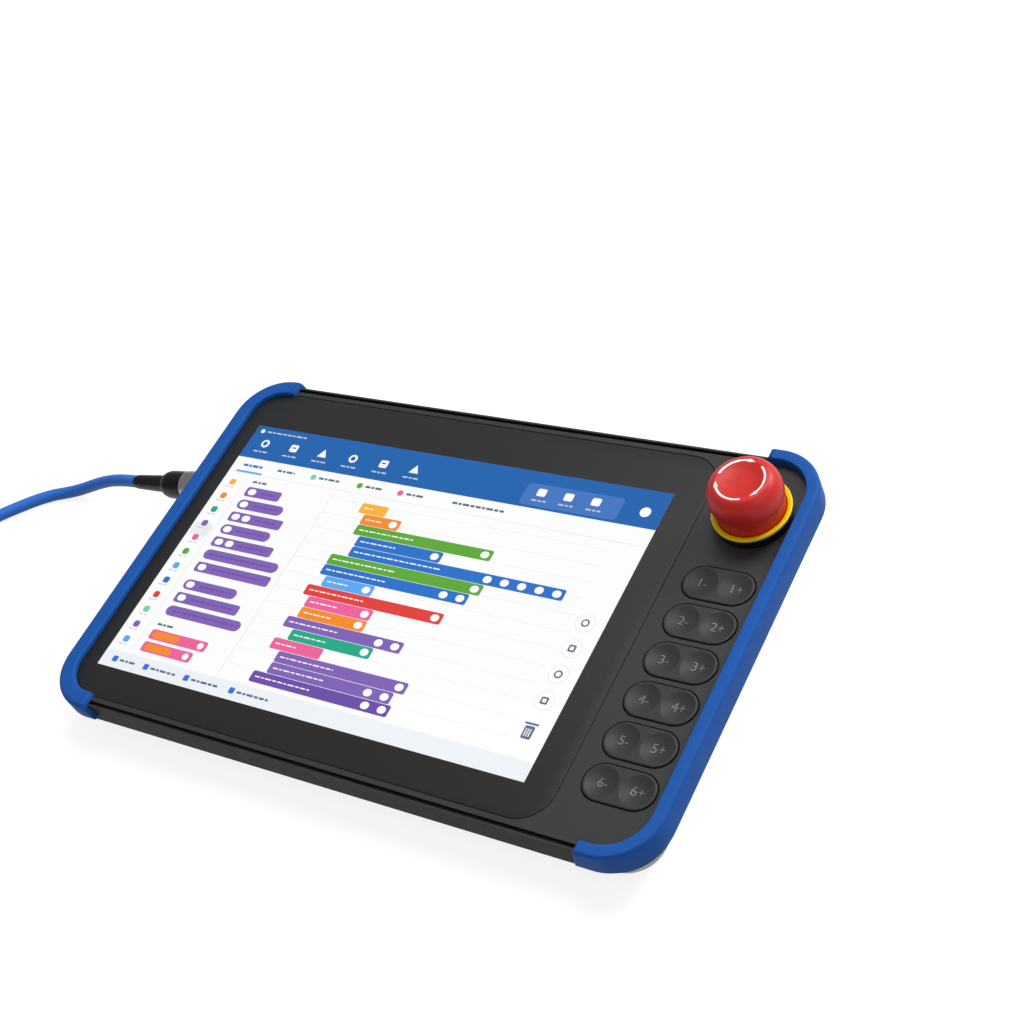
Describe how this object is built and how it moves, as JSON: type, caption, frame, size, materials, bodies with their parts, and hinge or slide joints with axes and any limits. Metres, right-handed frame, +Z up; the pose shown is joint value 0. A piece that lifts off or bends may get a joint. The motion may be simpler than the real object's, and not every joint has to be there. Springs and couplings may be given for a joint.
{
  "type": "teach pendant",
  "caption": "Hand-held machine teach pendant with a touch screen, a column of jog keys, an emergency stop, an enabling switch, a hand strap and a plugged-in cable.",
  "frame": {"origin": "on the table, below the middle of the pendant without its cable, which lies on its back on the two grips and the lower rear edge", "axes": "+X to the right of the screen, +Y towards the pendant's top edge, +Z up; the screen's face leans 14.0 degrees towards -Y"},
  "size_m": [0.5547, 0.2118, 0.0824],
  "materials": {
    "frame_dark": "fine texture",
    "glass_black": "polished, black border",
    "seal_black": "foam adhesive",
    "panel_white": "backlit panel",
    "steel": "bright",
    "board_green": "solder mask",
    "standoff_brass": "machined",
    "cover_grey": "fine texture",
    "screw_black": "black zinc",
    "foot_rubber": "matt grey",
    "bumper_blue": "satin",
    "key_grey": "satin",
    "dome_rubber": "silicone",
    "stop_red": "satin gloss",
    "stop_yellow": "gloss",
    "black_gloss": "gloss",
    "black_matte": "satin",
    "strap_fabric": "woven web, padded",
    "plate_grey": "satin",
    "socket_brass": "machined",
    "plug_metal": "satin nickel",
    "cable_blue": "smooth jacket"
  },
  "bodies": {
    "housing": {"front_frame": "frame_dark", "touch_glass": "glass_black", "glass_seal": "seal_black", "display_panel": "panel_white", "chassis_plate": "steel", "chassis_screws": "steel", "board_standoffs": "standoff_brass", "main_board": "board_green", "housing_gasket": "seal_black", "rear_cover": "cover_grey", "housing_screws": "screw_black", "rest_feet": "foot_rubber", "bumper_left": "bumper_blue", "bumper_right": "bumper_blue", "key_pins": "steel", "key_pad": "dome_rubber", "key_board": "board_green", "key_board_screws": "steel", "stop_ring": "stop_yellow", "stop_barrel": "black_gloss", "stop_nut": "black_matte", "stop_contacts": "black_matte", "enabling_bezel": "black_matte", "enabling_switch": "black_matte", "power_switch": "black_matte", "port_pin": "steel", "usb_socket": "steel", "hand_strap": "strap_fabric", "strap_plates": "plate_grey", "strap_screws": "steel", "cable_socket": "socket_brass", "plug_coupling": "plug_metal", "plug_grip": "black_matte", "plug_relief": "black_matte", "cable": "cable_blue", "cable_coil": "cable_blue", "coil_tie": "black_matte", "far_relief": "black_matte", "far_plug": "black_matte", "far_coupling": "plug_metal"},
    "jog_key_1": {"jog_key_1": "key_grey"},
    "jog_key_2": {"jog_key_2": "key_grey"},
    "jog_key_3": {"jog_key_3": "key_grey"},
    "jog_key_4": {"jog_key_4": "key_grey"},
    "jog_key_5": {"jog_key_5": "key_grey"},
    "jog_key_6": {"jog_key_6": "key_grey"},
    "stop_stem": {"stop_stem": "black_matte"},
    "stop_head": {"stop_head": "stop_red"},
    "enabling_paddle": {"enabling_paddle": "black_matte"},
    "power_button": {"power_button": "key_grey"},
    "port_cover": {"port_cover": "black_matte"}
  },
  "joints": [
    {"name": "jog_1_rock", "type": "hinge", "parent": "housing", "child": "jog_key_1", "pos_m": [0.1231, 0.02676, 0.04559], "axis": [0, 0.9701, 0.2427], "range_deg": [-3.5, 3.5], "stiffness_Nm_per_rad": 0.3},
    {"name": "jog_2_rock", "type": "hinge", "parent": "housing", "child": "jog_key_2", "pos_m": [0.1231, 0.0094, 0.04125], "axis": [0, 0.9701, 0.2427], "range_deg": [-3.5, 3.5], "stiffness_Nm_per_rad": 0.3},
    {"name": "jog_3_rock", "type": "hinge", "parent": "housing", "child": "jog_key_3", "pos_m": [0.1231, -0.00797, 0.03691], "axis": [0, 0.9701, 0.2427], "range_deg": [-3.5, 3.5], "stiffness_Nm_per_rad": 0.3},
    {"name": "jog_4_rock", "type": "hinge", "parent": "housing", "child": "jog_key_4", "pos_m": [0.1231, -0.02533, 0.03256], "axis": [0, 0.9701, 0.2427], "range_deg": [-3.5, 3.5], "stiffness_Nm_per_rad": 0.3},
    {"name": "jog_5_rock", "type": "hinge", "parent": "housing", "child": "jog_key_5", "pos_m": [0.1231, -0.0427, 0.02822], "axis": [0, 0.9701, 0.2427], "range_deg": [-3.5, 3.5], "stiffness_Nm_per_rad": 0.3},
    {"name": "jog_6_rock", "type": "hinge", "parent": "housing", "child": "jog_key_6", "pos_m": [0.1231, -0.06006, 0.02387], "axis": [0, 0.9701, 0.2427], "range_deg": [-3.5, 3.5], "stiffness_Nm_per_rad": 0.3},
    {"name": "stop_press", "type": "slide", "parent": "housing", "child": "stop_stem", "axis": [0, 0.2427, -0.9701], "range_m": [0, 0.004]},
    {"name": "stop_twist", "type": "hinge", "parent": "stop_stem", "child": "stop_head", "pos_m": [0.1242, 0.05581, 0.0675], "axis": [0, 0.2427, -0.9701], "range_deg": [0, 40], "stiffness_Nm_per_rad": 0.02},
    {"name": "enabling_press", "type": "slide", "parent": "housing", "child": "enabling_paddle", "axis": [0.7373, -0.6554, -0.164], "range_m": [0, 0.0035], "stiffness_N_per_m": 1000},
    {"name": "power_press", "type": "slide", "parent": "housing", "child": "power_button", "axis": [0, -0.9701, -0.2427], "range_m": [0, 0.001], "stiffness_N_per_m": 500},
    {"name": "port_open", "type": "hinge", "parent": "housing", "child": "port_cover", "pos_m": [-0.0759, 0.08803, 0.05597], "axis": [-1, 0, 0], "range_deg": [0, 90]}
  ]
}
